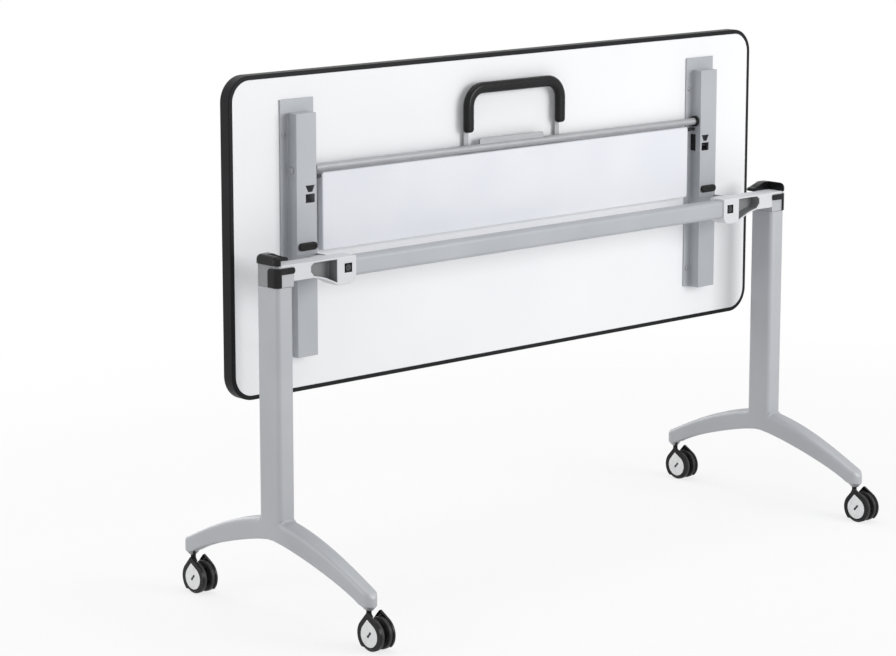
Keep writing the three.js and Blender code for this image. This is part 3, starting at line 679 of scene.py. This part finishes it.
def build_latch_springs():
    """Coil springs over the latch bars: a wire ring wound upwards, each spring with a mesh of its own."""
    wire, coil, turns = 0.8, 4.2, 7
    x, y, bottom, top = 547.5, 91, 716.54, 755.46
    deselect()
    bpy.ops.mesh.primitive_circle_add(vertices=10, radius=wire * MM, rotation=(math.pi / 2, 0, 0))
    spring = settle("coil_spring_right")
    bpy.ops.transform.translate(value=(coil * MM, 0, wire * MM))
    settle("coil_spring_right")
    winding = spring.modifiers.new("winding", "SCREW")
    winding.axis = "Z"
    winding.angle = 2 * math.pi
    winding.screw_offset = (top - bottom - 2 * wire) / turns * MM
    winding.iterations = turns
    winding.steps = 20
    winding.render_steps = 20
    bpy.ops.object.modifier_apply(modifier=winding.name)
    edit()
    bpy.ops.mesh.select_all(action="SELECT")
    bpy.ops.mesh.remove_doubles(threshold=0.00002)
    bpy.ops.mesh.select_mode(type="EDGE")
    bpy.ops.mesh.select_all(action="DESELECT")
    bpy.ops.mesh.select_non_manifold()
    bpy.ops.mesh.edge_face_add()
    weld()
    leave()
    bpy.ops.transform.translate(value=(x * MM, y * MM, bottom * MM))
    settle("coil_spring_right")
    springs = {"right": spring, "left": mirror(spring, "coil_spring_left")}
    for side, piece in springs.items():
        dress(piece, "top", "bright_steel", BRIGHT_STEEL, f"latch_spring_{side}", angle=60)
        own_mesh(piece)


def build_arch(name, half, band, foot, top, corner, front, back):
    """A square arch: a leg, a turn, a crossing, a turn and a leg."""
    arch = cube(name, (half - band, front, foot), (half, back, top - corner))
    height = top - corner
    edit()
    select("FACE", lambda place, way: way.z > 0.9)
    for centre, run in ((half - corner, (2 * (corner - half), 0, 0)), (corner - half, (0, 0, foot - height))):
        bpy.ops.mesh.spin(
            steps=12, angle=math.pi / 2, center=(centre * MM, 0, height * MM), axis=(0, 1, 0)
        )
        extrude(*run)
    weld()
    leave()
    return arch


def build_handle():
    """The bent steel strap and the moulded grip on it."""
    strap = build_arch("bent_strap", 129, 12, 807.8, 936.3, 42.5, 96.8, 100.8)
    soften(strap, 1, 3, 50)
    dress(strap, "handle", "grey_steel", GREY_STEEL, "handle_strap")
    grip = build_arch("moulded_grip", 134.5, 22, 845.5, 941.5, 46, 81.3, 97.6)
    soften(grip, 7.8, 8, 50)
    dress(grip, "handle", "black_plastic", GRIP_PLASTIC, "handle_grip", angle=45)


def build_panel():
    """The modesty panel: a folded pan, open at its back, with lips turned in."""
    panel = cube("folded_panel", (-495, 87.5, 657.8), (495, 99.5, 804.8))
    edit()
    select("FACE", lambda place, way: way.y > 0.9)
    inset(9)
    bpy.ops.mesh.delete(type="FACE")
    select("EDGE", lambda place, way: abs(way.y) > 0.9)
    bevel(5, 5)
    select("EDGE", lambda place, way: near(place.y, 87.5))
    bevel(3, 4)
    leave()
    thicken(panel, 1.5, -1)
    dress(panel, "panel", "panel_coat", PANEL_COAT, "modesty_panel")


# Leg frame


def build_beam():
    """The cross beam: a rounded tube with open ends."""
    beam = cube("rounded_beam", (-536, -9.5, 623.5), (536, 22.5, 659.5))
    edit()
    select("EDGE", lambda place, way: abs(way.x) > 0.9)
    bevel(7, 8)
    select("FACE", lambda place, way: abs(way.x) > 0.9)
    inset(2, -30)
    leave()
    dress(beam, "frame", "silver_coat", SILVER, "cross_beam")


def build_heads():
    """Cast heads: an end block with a bolt recess, an arm with a pocket, a collar, a lap over it and a pivot lug, in a
    paler copy of the silver painted as light, with painted grey shade in the pocket, painted black shade in the bolt
    recess and a darker grey outer collar face.
    """
    head = cube("cast_head_right", (499, -12.5, 611), (542, 25.5, 663))
    # Slots: the paler silver, painted light over the whole casting; the grey, for the collar's outer face and as
    # painted shade in the pocket; black, as painted shade in the bolt recess.
    for finish in (PAINTED_LIGHT_SILVER, GREY_CAST_AND_POCKET_SHADE, BLACK_PLASTIC):
        head.data.materials.append(finish)
    edit()
    last_x, last_z = 542, 611
    for x, z in ((556.5, 618.7), (571, 624.8), (585.5, 629.2), (600, 632), (611, 632), (648.5, 632)):
        select("FACE", lambda place, way: way.x > 0.9)
        extrude(x - last_x, 0, 0)
        select("VERT", lambda place, way: near(place.x, x) and near(place.z, last_z))
        move(0, 0, z - last_z)
        last_x, last_z = x, z
    weld()
    select("FACE", lambda place, way: way.y < -0.9 and 543 < place.x < 610)
    inset(3.5)
    extrude(0, 24, 0)
    # The pocket's walls and floor take the grey: painted shade in the recess.
    select("FACE", lambda place, way: near(place.y, -0.5) or near(place.y, 11.5))
    head.active_material_index = 1
    bpy.ops.object.material_slot_assign()
    select("VERT", lambda place, way: near(place.x, 607.5, 0.3) and place.y < 12)
    grow(1, 1, 0.4, (607.5, 0, 650))
    select("FACE", lambda place, way: way.y < -0.9 and place.x < 541)
    inset(13)
    grow(1, 1, 17 / 26, (520.5, -12.5, 637))
    move(-2, 0, 4.5)
    extrude(0, 2.8, 0)
    # The recess's walls and floor take the black plastic: painted shade standing in for a deep bolt hole.
    select("FACE", lambda place, way: near(place.y, -11.1) or near(place.y, -9.7))
    head.active_material_index = 2
    bpy.ops.object.material_slot_assign()
    select("EDGE", lambda place, way: abs(way.y) > 0.9 and near(place.x, 499) and near(place.z, 611))
    bevel(16, 8)
    leave()
    soften(head, 1.6, 3, 30)
    lap = cube("lap", (640, -12.8, 658.2), (677, 25.5, 663.4))
    soften(lap, 0.6, 2, 50)
    lap.data.materials.append(PAINTED_LIGHT_SILVER)
    lug = cube("lug", (533, 20, 624.2), (553, 65, 659.4))
    edit()
    select("EDGE", lambda place, way: abs(way.x) > 0.9 and place.y > 60)
    bevel(17.5, 10)
    leave()
    soften(lug, 1, 2, 50)
    lug.data.materials.append(PAINTED_LIGHT_SILVER)
    collar = upright_block("collar", (648, -12.5, 622.3), (688, 47.5, 663), 10)
    collar.data.materials.append(LEG_SILVER)
    collar.data.materials.append(GREY_CAST_AND_POCKET_SHADE)
    edit()
    select("FACE", lambda place, way: way.x > 0.3)
    collar.active_material_index = 1
    bpy.ops.object.material_slot_assign()
    leave()
    soften(collar, 1, 2, 50)
    join(head, lap, lug, collar)
    dress(head, "frame", "silver_coat", PAINTED_LIGHT_SILVER, "head_right")
    dress(mirror(head, "cast_head_left"), "frame", "silver_coat", PAINTED_LIGHT_SILVER, "head_left")


def upright_block(name, low, high, corner):
    """A block with rounded upright edges, square only at its inner front edge, where the arm meets it."""
    block = cube(name, low, high)
    edit()
    select("EDGE", lambda place, way: abs(way.z) > 0.9 and (near(place.x, high[0]) or near(place.y, high[1])))
    bevel(corner, 8)
    leave()
    return block


def build_caps():
    """Black caps: a dome behind and beside the arm with a falling tail, and a hook round the outer front corner."""
    dome = cube("domed_cap_right", (630, -15, 663), (690.5, 50, 680))
    edit()
    select("EDGE", lambda place, way: abs(way.z) > 0.9)
    bevel(12.5, 8)
    select("EDGE", lambda place, way: place.z > 679.9)
    bevel(10, 7)
    bpy.ops.mesh.select_all(action="SELECT")
    bisect((664, 0, 0), (1, 0, 0))
    select("VERT", lambda place, way: place.x < 650)
    grow(1, 1, 0.45, (630, 0, 663))
    leave()
    cut_away(dome, cube("arm_room", (600, -80, 640), (680, 25.8, 700)))
    soften(dome, 0.8, 2, 60)
    hook = upright_block("hook", (647, -15, 622.6), (690.5, 50, 658), 12.5)
    cut_away(hook, upright_block("core", (600, -12.8, 600), (688.3, 47.8, 700), 10.3))
    cut_away(hook, cube("back_room", (600.5, 11, 600.5), (720, 91, 700.5)))
    cut_away(hook, cube("lower_room", (601, -61, 601), (678, 92, 646.5)))
    edit()
    select("EDGE", lambda place, way: abs(way.x) > 0.9 and near(place.y, 11) and near(place.z, 658))
    bevel(8, 6)
    select("EDGE", lambda place, way: abs(way.y) > 0.9 and near(place.x, 647))
    bevel(4, 5)
    select("EDGE", lambda place, way: abs(way.y) > 0.9 and near(place.x, 678) and near(place.z, 646.5))
    bevel(3, 4)
    leave()
    soften(hook, 0.5, 2, 60)
    join(dome, hook)
    dress(dome, "frame", "black_plastic", BLACK_PLASTIC, "cap_right", angle=40)
    dress(mirror(dome, "domed_cap_left"), "frame", "black_plastic", BLACK_PLASTIC, "cap_left", angle=40)


def build_columns():
    """Rounded columns, let into the feet."""
    column = cube("rounded_column_right", (648, -12.5, 176), (688, 47.5, 622))
    edit()
    select("EDGE", lambda place, way: abs(way.z) > 0.9)
    bevel(10, 10)
    leave()
    soften(column, 0.6, 2, 50)
    dress(column, "frame", "silver_coat", LEG_SILVER, "column_right")
    dress(mirror(column, "rounded_column_left"), "frame", "silver_coat", LEG_SILVER, "column_left")


def bezier(points, share):
    """A point of a cubic curve."""
    rest = 1 - share
    weights = (rest ** 3, 3 * rest * rest * share, 3 * rest * share * share, share ** 3)
    return [sum(w * p[axis] for w, p in zip(weights, points)) for axis in (0, 1)]


def height_at(reach, curve):
    """The height of a curve at a distance from the column's middle."""
    low, high = 0.0, 1.0
    for _ in range(40):
        middle = (low + high) / 2
        rising = curve[3][0] > curve[0][0]
        if (bezier(curve, middle)[0] < reach) == rising:
            low = middle
        else:
            high = middle
    return bezier(curve, low)[1]


def foot_station(reach):
    """Half width, top and bottom of the foot at a distance from the column's middle."""
    top_curve = ((31, 188), (106, 177), (178, 146), (258, 106))
    arch_curve = ((246, 77), (200, 106), (40, 151), (0, 151))
    half = 20.1 - 5.1 * max(reach - 30, 0) / 224
    top = height_at(reach, top_curve) + max(36 - max(reach, 30), 0) ** 2 / 9
    bottom = 77
    if reach < 246:
        bottom = height_at(reach, arch_curve)
    if reach > 254:
        half = math.sqrt(max(225 - (reach - 254) ** 2, 4))
    if reach > 258:
        top = 106 - (reach - 258) ** 2 / 9
    return half, top, bottom


def build_feet():
    """Arched cast feet: a round-topped hub under the column, drawn out along both limbs, station by station."""
    centre_x, centre_y = 668, 17.5
    reaches = (
        8, 30, 31, 32.5, 34.5, 38, 46, 64, 84, 106, 128, 150, 172, 193, 212,
        229, 242, 250, 256, 261, 265, 267.6, 268.6, 268.9,
    )
    half, top, bottom = foot_station(8)
    foot = cube("cast_foot_right", (centre_x - half, centre_y - 8, bottom), (centre_x + half, centre_y + 8, top))
    edit()
    select("EDGE", lambda place, way: abs(way.y) > 0.9 and near(place.z, top))
    bevel(11, 6)
    select("EDGE", lambda place, way: abs(way.y) > 0.9 and near(place.z, bottom))
    bevel(4, 3)
    for way_out in (1, -1):
        last = (8, *foot_station(8))
        for reach in reaches[1:]:
            half, top, bottom = foot_station(reach)
            old_reach, old_half, old_top, old_bottom = last
            end = centre_y + way_out * old_reach
            select("FACE", lambda place, way: way.y * way_out > 0.7 and near(place.y, end))
            extrude(0, way_out * (reach - old_reach), 0)
            middle = (centre_x, centre_y + way_out * reach, (old_top + old_bottom) / 2)
            grow(half / old_half, 1, (top - bottom) / (old_top - old_bottom), middle)
            move(0, 0, (top + bottom) / 2 - middle[2])
            last = (reach, half, top, bottom)
        select("FACE", lambda place, way: way.z < -0.9 and place.z < 77.5 and (place.y - centre_y) * way_out > 240)
        extrude(0, 0, -7)
        grow(0.5, 0.6, 1, (centre_x, centre_y + way_out * 254, 70))
    weld()
    leave()
    dress(foot, "frame", "silver_coat", LEG_SILVER, "foot_right", angle=50)
    dress(mirror(foot, "cast_foot_left"), "frame", "silver_coat", LEG_SILVER, "foot_left", angle=50)


# Casters


def build_wheel(name, centre_x, centre_y):
    """A wheel: a rounded tyre with a hub set into each face, in black: painted shade for the dark gap between the twin
    wheels.
    """
    wheel = cylinder(name, (centre_x, centre_y, 30), 30, 11, "X", 56)
    wheel.data.materials.append(TYRE)
    wheel.data.materials.append(BLACK_PLASTIC)
    edit()
    select("EDGE", lambda place, way: abs(way.x) < 0.1 and near(abs(place.x - centre_x), 5.5))
    bevel(2.4, 4)
    select("FACE", lambda place, way: abs(way.x) > 0.9 and near(place.z, 30) and near(place.y, centre_y))
    inset(6)
    inset(0.8, -1.2)
    # The hub takes the black plastic: painted shade darkening the gap between the twin wheels.
    bpy.context.object.active_material_index = 1
    bpy.ops.object.material_slot_assign()
    inset(2, 0.5)
    inset(9.5)
    inset(1, 0.8)
    inset(4, 0)
    leave()
    return wheel


def build_drop(name, centre, radius, width, apex):
    """A drop-shaped disc: a cylinder whose rim is drawn out to a point, given by its depth and height."""
    disc = cylinder(name, centre, radius, width, "X", 72)
    away_y, away_z = apex[0] - centre[1], apex[1] - centre[2]
    heading = math.atan2(away_z, away_y)
    spread = math.acos(radius / math.hypot(away_y, away_z))

    def faces_apex(place, way):
        return abs(math.atan2(place.z - centre[2], place.y - centre[1]) - heading) < spread

    edit()
    select("VERT", faces_apex)
    grow(1, 0.05, 0.05, (centre[0], *apex))
    leave()
    return disc


def build_hood(axle, stem_y):
    """Two leaf-shaped cheeks with a narrow rim and a pale cover in it, tied by a bridge behind the wheels."""
    radius, window = 31.7, 22
    hood = cylinder("hood", axle, radius, 35.8, "X", 72)
    hood.data.materials.append(BLACK_PLASTIC)
    hood.data.materials.append(HUB_WHITE)

    def bearing(place):
        return math.degrees(math.atan2(place.z - axle[2], place.y - axle[1]))

    def reach(place):
        return math.hypot(place.y - axle[1], place.z - axle[2])

    edit()
    select("FACE", lambda place, way: abs(way.x) > 0.9)
    inset(radius - window)
    hood.active_material_index = 1
    bpy.ops.object.material_slot_assign()
    for offset in (-13.2, 13.2):
        bpy.ops.mesh.select_all(action="SELECT")
        bisect((axle[0] + offset, 0, 0), (1, 0, 0))
    select("FACE", lambda place, way: near(place.x, axle[0]) and not -40 < bearing(place) < 38)
    bpy.ops.mesh.delete(type="FACE")
    for ring, spread, height in ((radius, 39, 41), (window, 40, 29)):
        select("VERT", lambda place, way: near(reach(place), ring, 0.5) and abs(bearing(place) - 80) < spread)
        grow(1, 0.06, 0.06, (axle[0], axle[1] + height * 0.17, axle[2] + height * 0.985))
    bpy.ops.mesh.select_all(action="SELECT")
    bpy.ops.mesh.bisect(plane_co=(0, 0, 0.006), plane_no=(0, 0, 1), clear_inner=True)
    select("FACE", lambda place, way: abs(way.x) > 0.9 and near(place.y, axle[1], 6) and near(place.z, 33, 7))
    inset(0.6, -0.4)
    leave()
    thicken(hood, 0.8, -1)
    return soften(hood, 0.4, 2, 50)


def build_axle_mark(axle, side):
    """The axle's slanted dark end, set in a cover."""
    x, y, z = axle
    ends = sorted((x + side * 16.9, x + side * 17.8))
    mark = cube("mark", (ends[0], y - 2.7, z - 5), (ends[1], y + 2.7, z + 7))
    mark.data.materials.append(DARK_STEEL)
    edit()
    select("EDGE", lambda place, way: abs(way.x) > 0.9)
    bevel(2.5, 4)
    for above in (1, -1):
        select("VERT", lambda place, way: (place.z - z - 1) * above > 0)
        move(0, -3.2 * above, 0)
    leave()
    return mark


def build_caster_body(name, stem_x, stem_y):
    """The swivel housing: a stem, a drop-shaped hood with cheeks over both wheels, and the plate on the axle."""
    axle = (stem_x, stem_y - 20, 30)
    body = cylinder(name, (stem_x, stem_y, 81), 5, 36, "Z", 32)
    body.data.materials.append(BLACK_PLASTIC)
    edit()
    select("FACE", lambda place, way: way.z < -0.9)
    extrude(0, 0, -6)
    grow(1.5, 1.5, 1, (stem_x, stem_y, 57))
    select("EDGE", lambda place, way: near(place.z, 99))
    bevel(1, 2)
    leave()
    plate = build_drop("plate", axle, 11, 9, (stem_y, 62))
    soften(plate, 0.8, 2, 50)
    hood = build_hood(axle, stem_y)
    join(body, plate, hood, build_axle_mark(axle, 1), build_axle_mark(axle, -1))
    return body


def build_casters():
    """Four twin-wheel casters: the first is modelled, the others are its copies."""
    side_x = 668
    first_y = ENDS["front"]
    body = build_caster_body("caster_housing_front_right", side_x, first_y)
    wheels = {
        "a": build_wheel("rolling_wheel_a_front_right", side_x - 11, first_y - 20),
        "b": build_wheel("rolling_wheel_b_front_right", side_x + 11, first_y - 20),
    }
    for end, stem_y in ENDS.items():
        for side, sign in SIDES.items():
            shift = ((sign - 1) * side_x, stem_y - first_y, 0)
            corner = f"{end}_{side}"
            housing, pair = body, wheels
            if corner != "front_right":
                housing = copy(body, f"caster_housing_{corner}", shift)
                pair = {key: copy(wheel, f"rolling_wheel_{key}_{corner}", shift) for key, wheel in wheels.items()}
            dress(housing, f"caster_{corner}", "black_plastic", BLACK_PLASTIC, f"caster_body_{corner}")
            for key, wheel in pair.items():
                dress(wheel, f"wheel_{key}_{corner}", "wheel_tyre", TYRE, f"wheel_{key}_{corner}")


build_edge_trim()
build_brackets()
build_stop_pads()
build_screws()
build_release_rod()
build_rod_bushes()
build_latch_springs()
build_handle()
build_panel()
build_beam()
build_heads()
build_caps()
build_columns()
build_feet()
build_casters()


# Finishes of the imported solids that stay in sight

for name, finish in {
    "table_top_board": LAMINATE,
}.items():
    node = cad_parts[name]
    node.data.materials.clear()
    node.data.materials.append(finish)
for name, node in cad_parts.items():
    for start, finish in (
        ("release_crank", BRIGHT_STEEL), ("latch_", BRIGHT_STEEL), ("panel_pin", DARK_STEEL),
        ("beam_bolt", DARK_STEEL), ("pivot_pin", DARK_STEEL), ("foot_bolt", DARK_STEEL),
        ("caster_axle", BRIGHT_STEEL), ("caster_body", BLACK_PLASTIC), ("wheel_", TYRE),
    ):
        if name.startswith(start):
            node.data.materials.clear()
            node.data.materials.append(finish)


# Floor, world and lights


def build_floor():
    """A pale floor: it takes the soft shadow near the table and fades to white further off."""
    deselect()
    bpy.ops.mesh.primitive_plane_add(size=60, location=(0, 0, 0))
    floor = settle("floor")
    finish = Finish("pale_floor", {"Base Color": (0.85, 0.85, 0.85, 1), "Roughness": 0.9, "Specular IOR Level": 0.0})
    glow = finish.add("ShaderNodeEmission", {}, {"Color": (1, 1, 1, 1), "Strength": 1.0})
    seen = finish.add("ShaderNodeLightPath", {}, {}, "Is Camera Ray")
    mirrored = finish.add("ShaderNodeLightPath", {}, {}, "Is Glossy Ray")
    passed = finish.add("ShaderNodeLightPath", {}, {}, "Is Transmission Ray")
    reach = finish.add("ShaderNodeVectorMath", {"operation": "LENGTH"}, {0: finish.place}, "Value")
    fade = finish.add(
        "ShaderNodeMapRange", {}, {"Value": reach, "From Min": 0.9, "From Max": 2.4, "To Min": 0.75, "To Max": 1.0}
    )
    shader = Value(finish, finish.shader.outputs[0])
    mixed = finish.add("ShaderNodeMixShader", {}, {0: (seen + mirrored + passed) * fade, 1: shader, 2: glow})
    finish.tree.links.new(mixed.output, finish.tree.nodes["Material Output"].inputs["Surface"])
    floor.data.materials.append(finish.material)


def build_world():
    """A plain white room: white to the eye and in reflections, and a little dimmer as light."""
    world = bpy.data.worlds.new("studio")
    bpy.context.scene.world = world
    world.use_nodes = True
    nodes, links = world.node_tree.nodes, world.node_tree.links
    rays = nodes.new("ShaderNodeLightPath")
    seen = nodes.new("ShaderNodeMath")
    seen.operation = "MAXIMUM"
    links.new(rays.outputs["Is Camera Ray"], seen.inputs[0])
    links.new(rays.outputs["Is Glossy Ray"], seen.inputs[1])
    strength = nodes.new("ShaderNodeMapRange")
    links.new(seen.outputs[0], strength.inputs["Value"])
    strength.inputs["To Min"].default_value = 0.55
    strength.inputs["To Max"].default_value = 1.0
    background = nodes["Background"]
    background.inputs["Color"].default_value = (1, 1, 1, 1)
    links.new(strength.outputs[0], background.inputs["Strength"])


def build_lamp(name, place, target, size, power):
    """A soft square lamp aimed at a point."""
    lamp = bpy.data.lights.new(name, "AREA")
    lamp.size = size
    lamp.energy = power
    holder = bpy.data.objects.new(name, lamp)
    holder.location = place
    away = [t - p for t, p in zip(target, place)]
    flat = math.hypot(away[0], away[1])
    holder.rotation_euler = (math.atan2(flat, -away[2]), 0, math.atan2(-away[0], away[1]))
    bpy.context.scene.collection.objects.link(holder)


build_floor()
build_world()
build_lamp("left_lamp", (-2.6, 0.75, 0.9), (-0.69, 0.02, 0.4), 1.0, 9)
build_lamp("front_lamp", (1.4, -3.2, 1.5), (0.1, 0, 0.5), 1.8, 57)
build_lamp("back_lamp", (0, 3.3, 1.4), (0, 0.1, 0.5), 1.8, 29)
build_lamp("top_lamp", (0, 0.1, 3.4), (0, 0.1, 0.5), 2.6, 27)
